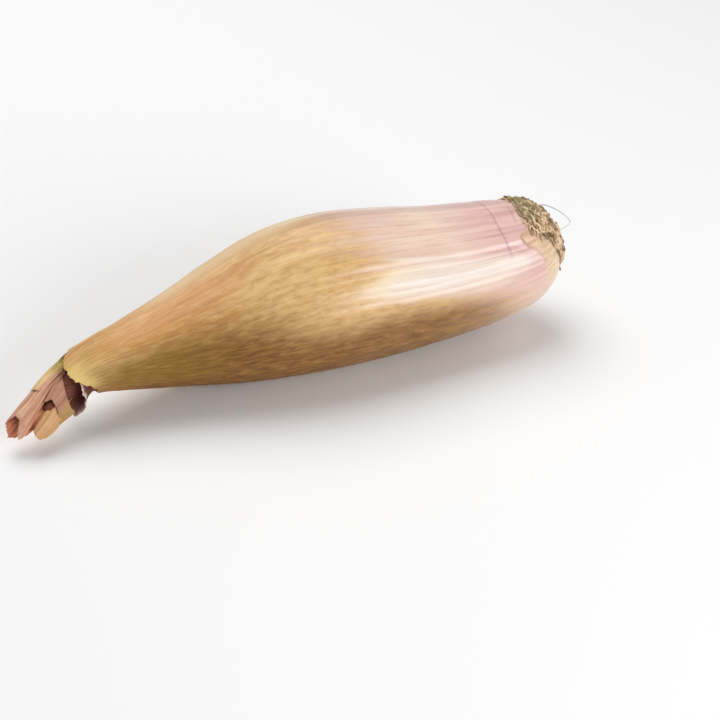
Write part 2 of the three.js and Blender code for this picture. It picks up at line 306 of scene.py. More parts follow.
def lofted(rows, ends=None):
    """A closed form over rings of points, with one more point at each end: its points and its faces."""
    rows = np.asarray(rows)
    count, around = rows.shape[:2]
    k = np.arange(around)
    after = (k + 1) % around
    start = around * np.arange(count - 1)[:, None]
    quads = np.stack([start + k, start + after, start + around + after, start + around + k], -1)
    faces = quads.reshape(-1, 4).tolist()
    last_row = around * (count - 1)
    for k in range(around):
        after = (k + 1) % around
        faces.append((after, k, count * around))
        faces.append((last_row + k, last_row + after, count * around + 1))
    if ends is None:
        ends = [rows[0].mean(0), rows[-1].mean(0)]
    return np.concatenate([rows.reshape(-1, 3), ends]), faces


def add_mesh(name, points, faces, material, node, extra, sharp=None):
    """A piece that stands for a CAD node: its mesh in metres, with the numbers its points carry."""
    mesh = bpy.data.meshes.new(name)
    mesh.from_pydata((np.asarray(points) * MM).tolist(), [], [tuple(map(int, f)) for f in faces])
    for key, values in extra.items():
        layer = mesh.attributes.new(key, "FLOAT_VECTOR", "POINT")
        layer.data.foreach_set("vector", np.asarray(values, np.float32).ravel())
    mesh.shade_smooth()
    if sharp:
        mesh.set_sharp_from_angle(angle=math.radians(sharp))
    mesh.materials.append(material)
    mesh.validate()
    piece = bpy.data.objects.new(name, mesh)
    bpy.context.scene.collection.objects.link(piece)
    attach(piece, "root")
    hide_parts(node)


# How far along the skin a place on the stations is, in millimetres.
fine = np.linspace(0, len(STATIONS) - 1, 1201)
line = through(STATIONS, fine)
LENGTHS = np.concatenate([[0], np.cumsum(np.linalg.norm(np.diff(line[:, :4], axis=0), axis=1))])
LENGTH = LENGTHS[-1]


def skin_ring(along):
    """The ring at a distance along the skin from the collar."""
    return through(STATIONS, np.interp(along, LENGTHS, fine))


def relief(angle, radius):
    """Broad lobes with narrow ribs over them, which run out towards both ends."""
    rib = (0.5 + 0.5 * np.cos(24 * angle + 0.9 * np.sin(3 * angle))) ** 2
    lobes = waves([(2, 0.4, 0.22), (5, 1.1, 0.2), (9, 2.3, 0.1)], angle)
    return (lobes + 0.2 * rib) * np.minimum(1, radius / 18)


def collar_edge(angle):
    """How far the collar's torn edge is set back, and forward where it is less than nothing."""
    plain = read(round_degrees(angle), [
        (-180, 1.0), (-150, 0.4), (-120, 0.3), (-90, 1.2), (-66, 2.6), (-42, 2.9), (-28, 2.0), (-14, 0.2),
        (-5, -0.7), (8, -1.6), (20, -2.0), (40, -2.3), (52, -2.1), (63, -1.3), (72, -0.9), (80, -0.2),
        (90, 0.5), (105, 1.0), (125, 1.6), (150, 1.5), (180, 1.0),
    ])
    return plain + waves([(17, 0.7, 0.12), (29, 2.0, 0.1), (43, 0.5, 0.06)], angle)


def cap_edge(angle):
    """How far from the root rim the outer skin is torn off, which leaves the cream inner skin bare."""
    plain = read(round_degrees(angle), [
        (-180, 5.0), (-120, 2.5), (-70, 0), (24, 0), (34, 6.0), (40, 12.8), (52, 12.2), (60, 9.4),
        (75, 8.8), (92, 8.8), (120, 8.2), (145, 6.5), (180, 5.0),
    ])
    return plain + rise(0, 3, plain) * waves([(13, 0.4, 0.2), (23, 1.9, 0.16), (41, 0.2, 0.12)], angle)


def mat_edge(angle):
    """How far the roots hang down over the skin from the root rim."""
    return read(round_degrees(angle), [
        (-180, 2.5), (-90, 3), (-40, 3.5), (-16, 4.5), (0, 5.5), (10, 6.6), (34, 8.4), (42, 7.2),
        (52, 4.6), (74, 2.6), (90, 1.4), (130, 1.4), (180, 1.8),
    ])


# The skin's points, in rows that lie closer at both torn ends than over the belly.
around = 320
angles = np.arange(around) * TURN / around
along_rows = np.concatenate([
    np.arange(0, 10, 0.4),
    np.arange(10, LENGTH - 24, 0.75),
    np.linspace(LENGTH - 24, LENGTH, 62),
])
along, angle = np.meshgrid(along_rows, angles, indexing="ij")
ring = skin_ring(along)
back = LENGTH - along
degrees = round_degrees(angle)

# The veins wander a little as they run along the skin. Two faint lines across it show where it stopped
# growing, and its torn edge lifts into a flap at the front.
wander = waves([(2, 0.4, 1.1), (3, 2.0, 0.9), (7, 1.0, 0.6)], angle + 0.012 * along)
wander += 0.9 * patches(along, angle, 26, 9, 3) + 0.5 * patches(along, angle, 11, 20, 4)
grown = angle + wander / VEINS
vein = 0.5 + 0.5 * np.cos(VEINS * grown)
bared = back - cap_edge(angle)
outer = rise(-0.4, 0.4, bared)
flap = bell(degrees - 45, 6)
growth_line = along - (122.2 - 2.7 * rise(-25, 60, degrees) + 0.2 * np.sin(9 * angle))
second_line = along - (128.6 - 0.1 * (degrees - 3))
line_fade = rise(66, 48, degrees) * rise(-90, -40, degrees)
second_fade = rise(31, 24, degrees) * rise(0, 9, degrees)

# Its surface: lobes, ribs and veins, a fine unevenness, folds where the neck is drawn tight, a step down to
# the inner skin at the torn edge, and a shallow groove at each growth line.
body = rise(0, 4, along)
tight = rise(26, 3, along)
skin_thick = 0.22
radius = ring[..., 3] + body * relief(angle, ring[..., 3])
ridge_height = 0.035 + 0.025 * patches(along, angle, 24, 22, 15)
radius += body * rise(0, 5, back) * ridge_height * (vein - 0.5) * np.minimum(1, ring[..., 3] / 16)
radius += 0.05 * patches(along, angle, 16, 40, 5) + 0.03 * patches(along, angle, 4, 90, 6)
neck_folds = 0.13 * np.cos(19 * grown + 1.5 * np.sin(2 * angle)) + 0.16 * patches(along, angle, 4.5, 14, 7)
radius += tight * neck_folds
radius -= skin_thick * (1 - outer) * rise(0, 2, back)
radius += outer * (0.1 + 0.12 * flap) * bell(bared - 0.5, 0.7 + flap) * rise(2, 4, back)
radius -= 0.1 * line_fade * bell(growth_line, 0.4) + 0.08 * second_fade * bell(second_line, 0.4)
torn = (1 - rise(0, 9, ring[..., 0] - NECK[0])) * collar_edge(angle)
skin_points = on_ring(ring, radius, angle, torn)
table_gap = 0.02
skin_points[..., 2] = np.maximum(skin_points[..., 2], table_gap)

# Rows inside the neck: how deep, how wide, and how much of the torn edge's shape they keep. Then the
# rows that turn in to the root seat: how wide, and how far out.
BORE = [
    (8, 4.0, 0), (6.2, 5.65, 0.2), (3.6, 5.9, 0.5), (1.8, 5.95, 0.8), (0.7, 6.1, 1), (0.15, 6.25, 1),
    (0, 6.4, 1),
]
SEAT = [(9.8, 0.25), (9.4, 0), (9.4, -0.8), (9.4, -1.5)]
bore_rows = []
for deep, wide, share in BORE:
    bore_rows.append(on_ring(NECK, np.full(around, wide), angles, deep + share * collar_edge(angles)))
seat_rows = [on_ring(RIM, np.full(around, wide), angles, out) for wide, out in SEAT]
bulb_points, bulb_faces = lofted(np.concatenate([bore_rows, skin_points, seat_rows]))


def over_all(values, before=(0, 0, 0), after=(0, 0, 0)):
    """Three numbers for the skin's points, with plain ones inside the neck and in the root seat."""
    head = np.broadcast_to(before, (len(bore_rows), around, 3))
    tail = np.broadcast_to(after, (len(seat_rows), around, 3))
    rows = np.concatenate([head, np.stack(values, -1), tail])
    return np.concatenate([rows.reshape(-1, 3), [before, after]])


# Where the skin turns pink, and where it is olive and darkened by painted shade underneath, lightened by
# painted light over the top of the neck, green at the collar, mauve at the roots, tan and partly painted
# shade under the mat of roots, lit by a painted highlight along the front, and salmon or mossy on the neck.
blush_start = read(np.abs(degrees), [
    (0, 77), (30, 79), (42, 85), (52, 87), (62, 77), (70, 83), (80, 101), (92, 108), (120, 111), (180, 112),
])
blush = rise(-27, 24, along - blush_start + 5 * patches(along, angle, 12, 12, 8))
# Painted shade on the underside: the angle from the top where it starts, how wide its rise is, and how
# strong it is along the skin.
low_start = read(along, [
    (0, 45), (12, 39), (24, 34), (36, 37), (48, 43), (56, 53), (64, 65), (72, 72), (80, 71), (90, 70),
    (104, 73), (120, 85),
])
low_width = read(along, [(60, 44), (80, 28)])
low_share = read(along, [(0, 0.7), (8, 0.95), (24, 1.1), (40, 1.1), (56, 1), (96, 1), (112, 0.7), (122, 0)])
olive = low_share * rise(0, 1, (np.abs(degrees) - low_start) / low_width) * np.where(degrees < 0, 0.6, 1)
# Painted light: the top of the neck and belly, a little towards the back, is made lighter than the rest.
olive -= 0.7 * rise(14, -20, degrees) * rise(-56, -28, degrees) * rise(14, 30, along) * rise(80, 62, along)
green = rise(13, 2, along + 5 * patches(along, angle, 5, 12, 9))
green = green * rise(5, 35, degrees) * rise(110, 75, degrees)
mauve_end = 64 + 22 * rise(112, 128, along)
mauve = rise(98, 118, along) * rise(16, -14, degrees - mauve_end)
mauve = mauve * rise(-110, -60, degrees) * rise(2, 7, back)
# The skin under the hanging roots, painted tan and partly dark as shade under them.
tan = rise(1.5, -0.5, back - mat_edge(angle) + patches(along, angle, 2.5, 60, 16))
gloss = rise(46, 84, along)
# A painted highlight: a pale band along the front, with a thin line along its upper edge.
highlight_top = read(along, [(70, 61), (84, 49), (95, 50), (107, 52), (119, 56), (125, 59)])
pale = rise(-7, 8, degrees - highlight_top) * rise(80, 61, degrees) * rise(55, 91, along) * rise(134, 118, along)
highlight_line = bell(degrees - read(along, [(84, 42), (99, 47), (108, 49)]), 1.8)
pale = np.maximum(pale, 0.8 * highlight_line * rise(78, 88, along) * rise(118, 104, along))
salmon = rise(6, 16, along) * rise(56, 36, along) * rise(-40, -10, degrees) * rise(46, 24, degrees)
moss = rise(2, 6, along) * rise(46, 22, along) * rise(44, 70, degrees) * rise(130, 105, degrees)
skin_extra = {
    "skin": over_all([along, WRAP * np.cos(grown), WRAP * np.sin(grown)], (0, WRAP, 0), (LENGTH, WRAP, 0)),
    "zones": over_all([blush, olive, green], (0, 0, 0.2), (0.4, 0, 0)),
    "tints": over_all([mauve, tan, gloss], after=(0, 1, 1)),
    "marks": over_all([growth_line, second_line, bared], (-99, -99, 99), (99, 99, -9)),
    "fades": over_all([line_fade, second_fade, flap]),
    "washes": over_all([pale, salmon, moss]),
}


def layered(tone, layers):
    """A tone with others laid over it, each given by its share and its red, green and blue."""
    for share, tint in layers:
        tone = share.blend(tone, colour(*tint))
    return tone


dry_skin, shade = finish("dry_skin", IOR=1.5, Coat_Roughness=0.27)
skin, (skin_along, skin_y, skin_z) = attribute(shade, "skin")
_, (pink_share, olive_shade_share, green_share) = attribute(shade, "zones")
_, (mauve_share, tan_share, gloss_share) = attribute(shade, "tints")
_, (growth, second, bare) = attribute(shade, "marks")
_, (growth_fade, second_share, flap_share) = attribute(shade, "fades")
_, (highlight_share, salmon_share, moss_share) = attribute(shade, "washes")

# The veins, as ridges, and the patterns that are drawn out along them.
turned = shade.math("ARCTAN2", skin_z, skin_y)
ridge = 0.5 + 0.5 * shade.math("COSINE", turned * VEINS)
drift = 5 * skin.grain((0.05, 1, 1), 0.3, 3, 0.55)
half_ridge = 0.5 + 0.5 * shade.math("COSINE", turned * (2 * VEINS) + drift)
streaks = skin.grain((0.06, 1, 1), 0.58, 3, 0.55)
dashes = skin.grain((0.24, 1, 1), 0.9, 3, 0.55)
clouds = skin.grain((0.3, 1, 1), 0.09, 3, 0.5)
speckle = skin.grain((0.4, 1, 1), 2.4, 2, 0.6)
blots = skin.grain((0.45, 1, 1), 0.62, 4, 0.62)
fibres = skin.grain((0.08, 1, 1), 2.3, 3, 0.6)

# The golden skin, darker and lighter in streaks, blots and dashes.
gold = clouds.step(0.36, 0.64).blend(colour(220, 176, 112), colour(201, 147, 80))
gold = layered(gold, [
    (streaks.step(0.5, 0.72) * 0.3, (180, 126, 66)),
    (streaks.step(0.46, 0.3) * 0.25, (236, 204, 146)),
    (blots.step(0.5, 0.66) * 0.4, (176, 124, 62)),
    (clouds.step(0.5, 0.3) * 0.3, (230, 194, 134)),
    (blots.step(0.46, 0.34) * 0.3, (236, 204, 144)),
    (dashes.step(0.5, 0.68) * 0.3, (164, 112, 54)),
    (dashes.step(0.47, 0.32) * 0.25, (238, 208, 152)),
])
# The pink skin, which is mauve near the roots. It comes in along the streaks.
pink = clouds.step(0.36, 0.64).blend(colour(236, 210, 190), colour(227, 192, 177))
pink = layered(pink, [
    (streaks.step(0.48, 0.74) * 0.35, (216, 172, 152)),
    (dashes.step(0.5, 0.7) * 0.3, (212, 170, 148)),
])
mauve_tone = streaks.step(0.36, 0.66).blend(colour(230, 190, 184), colour(204, 154, 154))
pink = (mauve_share * 0.8).blend(pink, mauve_tone)
to_pink = pink_share + 0.9 * (streaks - 0.5) + 0.3 * (fibres - 0.5) + 0.6 * (dashes - 0.5)
tone = to_pink.step(0.1, 0.9).blend(gold, pink)
# A painted highlight: a pale band along the front, which stands for the broad sheen of the skin there.
highlight_tone = streaks.step(0.38, 0.66).blend(colour(239, 227, 217), colour(231, 211, 194))
highlight_tone = pink_share.step(0.3, 0.85).blend(colour(241, 218, 182), highlight_tone)
to_highlight = highlight_share + 0.9 * (streaks - 0.5) + 0.7 * (dashes - 0.5)
tone = to_highlight.step(0.08, 0.9).blend(tone, highlight_tone)
tone = (salmon_share * 0.3).blend(tone, colour(236, 168, 126))
# The veins, with finer ones between them.
vein_line = (1 - ridge) ** 3 * dashes.step(0.3, 0.62) * streaks.step(0.3, 0.6)
vein_tone = pink_share.blend(colour(150, 100, 50), colour(178, 126, 128))
tone = (vein_line * (0.2 + 0.04 * pink_share)).blend(tone, vein_tone)
tone = ((1 - half_ridge) ** 3 * 0.08 * speckle).blend(tone, colour(140, 92, 60))
# The olive underside, darkened as painted shade; the top of the neck, lightened as painted light; and the
# green edge of the collar.
olive_shade_tone = dashes.step(0.34, 0.68).blend(colour(139, 93, 36), colour(112, 70, 20))
olive_shade_tone = (blots.step(0.48, 0.32) * 0.28).blend(olive_shade_tone, colour(190, 145, 74))
tone = (olive_shade_share * (0.9 + 0.3 * (dashes - 0.5))).blend(tone, olive_shade_tone)
tone = (moss_share * (0.2 + 0.25 * dashes)).blend(tone, colour(150, 120, 28))
tone = (olive_shade_share.step(0, -1) * (streaks + dashes - 0.1)).blend(tone, colour(240, 212, 170))
green_tone = dashes.step(0.35, 0.65).blend(colour(206, 180, 108), colour(178, 158, 82))
green_tone = skin_along.step(5, 1).blend(green_tone, colour(234, 206, 128))
tone = (green_share * 0.7).blend(tone, green_tone)
# The two growth lines, and the cream inner skin past the torn edge, which throws a thin brown shadow.
tone = (growth.near(0.36) * growth_fade * (0.15 + 0.65 * dashes)).blend(tone, colour(162, 114, 128))
tone = (second.near(0.34) * second_share * (0.1 + 0.7 * dashes)).blend(tone, colour(158, 112, 112))
cream = dashes.step(0.35, 0.68).blend(colour(231, 203, 170), colour(210, 176, 141))
cream = layered(cream, [
    (fibres.step(0.5, 0.7) * 0.25, (176, 134, 98)),
    (flap_share * 0.5, (200, 152, 124)),
])
ragged = bare + 1.8 * (fibres - 0.5) + 2.4 * (dashes - 0.5)
tone = (ragged * (0.4 + 0.6 * flap_share)).step(0.7, -0.7).blend(tone, cream)
edge_shadow = (ragged + 0.25).near(0.28) * (0.08 + 0.5 * flap_share)
tone = layered(tone, [
    (edge_shadow, (140, 98, 58)),
    (speckle.step(0.64, 0.76) * 0.16, (150, 104, 62)),
])
# Under the mat of roots the skin is tan, darkened in streaks as painted shade under the roots.
mat_tan_and_shade = fibres.step(0.4, 0.62).blend(colour(206, 174, 138), colour(150, 122, 86))
tone = (tan_share * (0.75 + 0.8 * (fibres - 0.5))).blend(tone, mat_tan_and_shade)
height = 0.2 * fibres + 0.2 * ridge + 0.08 * half_ridge + 0.08 * speckle + 0.45 * dashes + 0.3 * streaks
rough = 0.58 - 0.29 * gloss_share + 0.1 * streaks + 0.08 * speckle + 0.12 * olive_shade_share + 0.12 * highlight_share
coat = (0.05 + 0.57 * gloss_share) * (1 - 0.75 * olive_shade_share) * (1 - 0.7 * highlight_share)
wire(shade, Base_Color=tone, Roughness=rough, Coat_Weight=coat, Normal=height.bumps(0.35, 0.4))
add_mesh("bulb_skin_bag", bulb_points, bulb_faces, dry_skin, "bulb", skin_extra, sharp=50)

# ---------------------------------------------------------------- root crown
# The flat corky plate that the bulb grew from sits in the mouth of the skin, and dry roots curl out of it.
# Most were cut short. They hang over the shoulder of the skin, and finer hairs are caught between them.

PLATE = [(2.4, 2.3), (5.9, 2.6), (8.7, 2.1), (10.4, 1.4)]  # radius and height of the plate's face
PLATE_RIM = PLATE[-1][0]


def skin_at(away, angle, lift):
    """A point over the skin: its distance from the root rim, its angle and its height over the skin."""
    def bare_point(a, t):
        ring = skin_ring(LENGTH - a)
        return on_ring(ring, ring[..., 3] + relief(t, ring[..., 3]), t)

    here = bare_point(away, angle)
    outwards = np.cross(bare_point(away + 0.1, angle) - here, bare_point(away, angle + 0.01) - here)
    outwards /= np.linalg.norm(outwards, axis=-1, keepdims=True)
    return here + outwards * np.asarray(lift)[..., None]


def crown_at(out, angle, lift):
    """A point over the crown: out from its middle over the plate, and from there down the skin."""
    over_plate = np.minimum(out, PLATE_RIM)
    on_plate = on_ring(RIM, over_plate, angle, read(over_plate, PLATE) + lift)
    on_skin = skin_at(np.maximum(out - PLATE_RIM, 0), angle, lift)
    share = rise(PLATE_RIM - 0.2, PLATE_RIM + 2, out)[..., None]
    return on_plate * (1 - share) + on_skin * share


def tube(points, thick, sides):
    """A tapering root along points."""
    points = np.asarray(points, float)
    ways = np.gradient(points, axis=0)
    ways /= np.linalg.norm(ways, axis=1, keepdims=True)
    side = np.cross(ways[0], (0.3, 0.2, 0.9))
    turn = np.arange(sides) * TURN / sides
    rings = []
    for point, way, wide in zip(points, ways, thick):
        side = side - way * side.dot(way)
        side /= np.linalg.norm(side)
        other = np.cross(way, side)
        rings.append(point + wide / 2 * (np.outer(np.cos(turn), side) + np.outer(np.sin(turn), other)))
    ends = [points[0] - ways[0] * thick[0] * 0.3, points[-1] + ways[-1] * thick[-1] * 0.6]
    return lofted(rings, ends)


# Rows of the plate, from its foot in the seat to its middle: height, radius and how rough.
PLATE_ROWS = [
    (-1.15, 9.0, 0), (-0.2, 9.0, 0), (0.6, 9.0, 0), (0.7, 10.1, 0.6), (1.0, 10.35, 1), (1.4, 10.3, 1),
    (1.75, 9.7, 1), (2.1, 8.7, 1), (2.35, 7.6, 1), (2.5, 6.6, 1), (2.6, 5.6, 1), (2.55, 4.4, 1),
    (2.4, 3.2, 1), (2.25, 2.0, 1), (2.2, 1.0, 0.6),
]
plate_around = 120
turn = np.arange(plate_around) * TURN / plate_around
lumps = waves([(5, 0.3, 0.16), (11, 1.7, 0.1)], turn)
plate_rows = []
for shift, out, rough in PLATE_ROWS:
    pits = rough * 0.3 * patches(np.full(plate_around, out), turn, 1.3, 22, 21)
    at = out + rough * min(1, out / 8) * lumps
    plate_rows.append(on_ring(RIM, at, turn, shift + (pits if out < 9.9 else 0.5 * pits)))
plate_points, plate_faces = lofted(plate_rows)

cork, shade = finish("root_cork", Roughness=0.9, IOR=1.4)
cork_place, _ = attribute(shade, "place")
mottle = cork_place.grain((1, 1, 1), 0.7, 4, 0.65)
crumbs = cork_place.grain((1, 1, 1), 2.6, 3, 0.7)
cork_tone = mottle.step(0.35, 0.68).blend(colour(124, 104, 66), colour(66, 52, 26))
cork_tone = (crumbs.step(0.55, 0.75) * 0.6).blend(cork_tone, colour(176, 152, 108))
cork_height = mottle + 0.6 * crumbs
wire(shade, Base_Color=cork_tone, Normal=cork_height.bumps(0.7, 0.6))
add_mesh("root_plate", plate_points, plate_faces, cork, "root_crown", {"place": plate_points})


def drawing(seed):
    """One repeatable stream of numbers between 0 and 1."""
    prime = 2**31 - 1
    state = seed
    while True:
        state = state * 16807 % prime
        yield state / prime


def low_side(angle):
    """1 low on the front of the crown, where the roots are short, and 0 round the rest of it."""
    return bell(np.degrees(angle) % 360 - 95, 35)


# Two streams of random numbers, which come out the same each time: the first places the short cut roots.
draw = drawing(20817)
chance = np.random.default_rng(41)
root_parts = []


def add_root(path, thick, sides, tint):
    """One more root or hair. Its tint is 0 for pale, 1 for brown and more for the darkest."""
    points, faces = tube(path, thick, sides)
    root_parts.append((points, faces, tint))


# Rings of short cut roots: how many, how far out and how high they start, how far they go out and up,
# how they fall and swirl, and how thick they are. None falls lower than the shoulder of the skin.
ROOTS = [
    (30, 9.6, 1.1, 4.2, 1.6, 3.6, 2.2, 0.85),
    (18, 8.2, 1.8, 3.8, 2.4, 1.8, 2.4, 0.8),
    (9, 4.6, 2.2, 1.8, 2.6, 0.8, 1.6, 0.75),
]
for count, base, start, out, up, fall, swirl, thick in ROOTS:
    for n in range(count):
        root_angle = TURN * (n + 0.7 * next(draw)) / count
        root_out = out * (0.6 + 0.7 * next(draw)) * (1 - 0.5 * low_side(root_angle))
        root_up = up * (0.6 + 0.8 * next(draw))
        root_swirl = swirl * (2 * next(draw) - 1)
        s = np.linspace(0, 1, 18)
        from_middle = base - 0.8 + root_out * s
        free = start - 0.4 + 0.55 * root_up * s - fall * s * s
        lowest = 0.8 - 0.75 * (from_middle - RIM[3])
        wiggle = 0.3 * s * np.sin(TURN * (1 + chance.random()) * s + TURN * chance.random())
        curl = (root_swirl * np.sin(2.6 * s) + wiggle) / (base + 2)
        shift = np.maximum(free, lowest) + 0.25 * s * np.sin(TURN * 1.6 * s + TURN * chance.random())
        path = on_ring(RIM, from_middle, root_angle + curl, shift)
        add_root(path, np.linspace(thick * 1.25, thick * 0.5, len(s)), 7, chance.random())

# Finer hairs: the first ones hang over the edge at the front, and the rest lie about the crown.
hair_count, hung_count = 330, 170
for n in range(hair_count):
    hung = n < hung_count
    hair_angle = math.radians(-22 + 124 * chance.random()) if hung else TURN * chance.random()
    hair_edge = float(mat_edge(hair_angle))
    base = 8.4 + 3.2 * chance.random() if hung else 2 + 8.5 * chance.random() ** 0.6
    hang = hair_edge * (0.6 + 0.5 * chance.random()) if hung else 1.0 + 2.2 * chance.random()
    end = PLATE_RIM + hang if hung else min(base + hang, PLATE_RIM + hair_edge)
    s = np.linspace(0, 1, 20)
    bends = 1.2 + 1.3 * chance.random()
    sway = (2.6 * chance.random() - 1.3) * s
    sway += (0.4 + 0.6 * chance.random()) * np.sin(TURN * (bends * s + chance.random())) * s
    lift = 0.25 + (0.1 + 0.7 * chance.random()) * np.sin(math.pi * np.minimum(1, 0.2 + s)) ** 2
    lift = lift * (1 - 0.45 * low_side(hair_angle)) + 0.12 * np.sin(TURN * (1.7 * s + chance.random()))
    path = crown_at(base + (end - base) * s, hair_angle + 2.4 * sway / (base + 3), lift)
    thick = 0.5 + 0.4 * chance.random() if hung else 0.3 + 0.3 * chance.random()
    tint = 0.1 + 0.55 * chance.random() if hung else 0.3 + 0.7 * chance.random()
    add_root(path, np.linspace(thick, thick * 0.4, len(s)), 6 if hung else 5, tint)

# Hairs that are wound round the crown, most of them over its front.
wound_count, wound_in_front = 96, 70
for n in range(wound_count):
    in_front = n < wound_in_front
    start_angle = math.radians(-60 + 150 * chance.random()) if in_front else TURN * chance.random()
    sweep = math.radians(14 + 30 * chance.random()) * (1 if chance.random() < 0.5 else -1)
    s = np.linspace(0, 1, 22)
    way = start_angle + sweep * s
    reach = mat_edge(way) - 0.6
    out = 5.2 + (4.9 + reach) * chance.random()
    out += 1.1 * np.sin(TURN * (0.7 * s + chance.random()))
    out += 0.35 * np.sin(TURN * (2.3 * s + chance.random()))
    lift = (0.35 + 0.6 * chance.random()) * (1 - 0.45 * low_side(way))
    lift += 0.25 * np.sin(TURN * (1.3 * s + chance.random()))
    path = crown_at(np.minimum(out, PLATE_RIM + reach), way, lift)
    thick = (0.65 + 0.6 * chance.random()) * np.sin(math.pi * (0.1 + 0.84 * s)) ** 0.5
    add_root(path, thick, 6, 1.7 * chance.random())

# One hair-fine root is left whole. It loops out from the crown and back to its rim: angle in degrees and
# height over the rim. Its tint is below nothing, which the material makes grey.
LOOP = np.array([
    (-4, 2.2), (4, 3.6), (11, 4.5), (21, 5.3), (32, 6.0), (44, 6.7), (56, 7.2), (63, 7.2), (65, 5.8),
    (64, 4.0), (59, 2.1),
])
loop_count = 44
loop_angle, loop_height = through(LOOP, np.linspace(0, len(LOOP) - 1, loop_count)).T
loop = on_ring(RIM, np.full(loop_count, 9.0), np.radians(loop_angle), loop_height)
add_root(loop, np.linspace(0.28, 0.18, loop_count), 6, -1)

# All of them together make one mesh.
root_faces = []
first = 0
for points, faces, _ in root_parts:
    root_faces.extend([tuple(first + v for v in face) for face in faces])
    first += len(points)
root_points = np.concatenate([points for points, _, _ in root_parts])
root_tints = np.concatenate([np.full((len(points), 3), tint) for points, _, tint in root_parts])

dry_root, shade = finish("dry_root_fibre", IOR=1.4)
_, (root_tint, _, _) = attribute(shade, "tint")
place, (_, _, place_z) = attribute(shade, "place")
root_grain = place.grain((1, 1, 1), 1.6, 3, 0.6)
shade_pockets = place.grain((1, 1, 1), 0.4, 2, 0.5)
root_tone = root_tint.step(0.1, 0.9).blend(colour(240, 212, 176), colour(196, 166, 126))
root_tone = layered(root_tone, [
    (root_tint.step(1.0, 1.6) * 0.8, (112, 88, 54)),
    (root_grain.step(0.42, 0.66) * 0.4, (150, 120, 80)),
    # Painted shade in pockets between the roots, laid at random over the crown.
    (shade_pockets.step(0.45, 0.6) * 0.65, (100, 76, 44)),
    (place_z.step(34, 39) * 0.3, (150, 152, 118)),
    (root_tint.step(0, -0.8), (192, 184, 182)),
])
root_rough = 0.62 + 0.2 * root_grain
wire(shade, Base_Color=root_tone, Roughness=root_rough, Normal=root_grain.bumps(0.5, 0.3))
root_extra = {"tint": root_tints, "place": root_points}
add_mesh("dry_roots", root_points, root_faces, dry_root, "root_crown", root_extra)

# ---------------------------------------------------------------- inner sheath
# Inside the torn collar stands the next skin, a thin cup that is dark red within, darkened further by
# painted shade, and pale pink at its torn rim. It grew round the leaf bases. Low on the front, where the
# collar is torn away, it flares out. Painted shade also darkens its outside face inside the collar and away
# from its lip.

# Its torn rim, round the neck: angle in degrees, distance from the neck's axis and shift from the collar.
SHEATH_RIM = np.array([
    (0, 5.25, 1.0), (30, 5.25, 0.0), (50, 5.35, -0.9), (66, 6.0, -1.6), (78, 6.5, -2.0), (92, 6.7, -2.3),
    (108, 7.0, -2.6), (122, 7.4, -3.5), (136, 7.8, -4.8), (152, 8.0, -6.2), (172, 7.8, -7.2),
    (195, 7.2, -7.2), (218, 6.4, -5.6), (245, 5.6, -2.8), (275, 5.2, 0.6), (315, 5.2, 1.25),
])
# Share of the way from the foot to the rim, up the inside and down the outside, and how far off the
# middle of the wall. The row with a share of 1 is the very edge.
SHEATH_ROWS = [
    (-1.2, -0.25), (-0.8, -0.3), (-0.3, -0.3), (0, -0.3), (0.2, -0.28), (0.4, -0.25), (0.55, -0.22),
    (0.7, -0.2), (0.82, -0.17), (0.92, -0.15), (0.98, -0.11), (1.0, 0), (0.98, 0.11), (0.92, 0.15),
    (0.82, 0.17), (0.7, 0.2), (0.55, 0.22), (0.4, 0.25), (0.2, 0.26), (0, 0.27), (-0.3, 0.27), (-0.8, 0.25),
    (-1.2, 0.2),
]
SHEATH_EDGE = 11
FOOT_RADIUS, FOOT_DEPTH = 5.2, 1.4
sheath_around = 144
turn = np.arange(sheath_around) * TURN / sheath_around
rim_table = np.concatenate([SHEATH_RIM[-2:] - (360, 0, 0), SHEATH_RIM, SHEATH_RIM[:2] + (360, 0, 0)])
rim_place = np.interp(np.degrees(turn), rim_table[:, 0], np.arange(len(rim_table)))
rim_at = through(rim_table[:, 1:], rim_place)
flare = rise(0.3, 3, -rim_at[:, 1])
fray = 0.08 * waves([(31, 0, 1), (17, 2, 1), (43, 1, 0.7)], turn)
rim_at[:, 1] += fray + 0.35 * flare * waves([(6, 0.5, 0.8), (11, 1.0, 0.8)], turn)
sheath_rows, sheath_carried = [], []
for row, (share, off) in enumerate(SHEATH_ROWS):
    up = max(share, 0)
    at = FOOT_RADIUS + (rim_at[:, 0] - FOOT_RADIUS) * up**3 + off + 0.07 * np.cos(26 * turn) * up
    shift = FOOT_DEPTH + (rim_at[:, 1] - FOOT_DEPTH) * up - 3.8 * min(share, 0)
    sheath_rows.append(on_ring(NECK, at, turn, shift))
    inside = np.full(sheath_around, float(row < SHEATH_EDGE))
    lip = np.full(sheath_around, bell(row - SHEATH_EDGE - 0.5, 2.2))
    sheath_carried.append(np.stack([shift, inside, lip], -1))
sheath_points, sheath_faces = lofted(sheath_rows)
sheath_carried = np.concatenate(sheath_carried + [[(0, 1, 0), (0, 0, 0)]])

red_sheath, shade = finish("red_sheath", IOR=1.4)
_, (sheath_shift, inside_share, lip_share) = attribute(shade, "sheath")
place, _ = attribute(shade, "place")
sheath_grain = place.grain((0.25, 1, 1), 1.5, 3, 0.6)
# Dark red inside the cup, darker still as painted shade.
red_and_shade = sheath_grain.step(0.3, 0.7).blend(colour(128, 60, 44), colour(92, 38, 28))
outside_tone = sheath_grain.step(0.35, 0.66).blend(colour(206, 170, 160), colour(178, 128, 122))
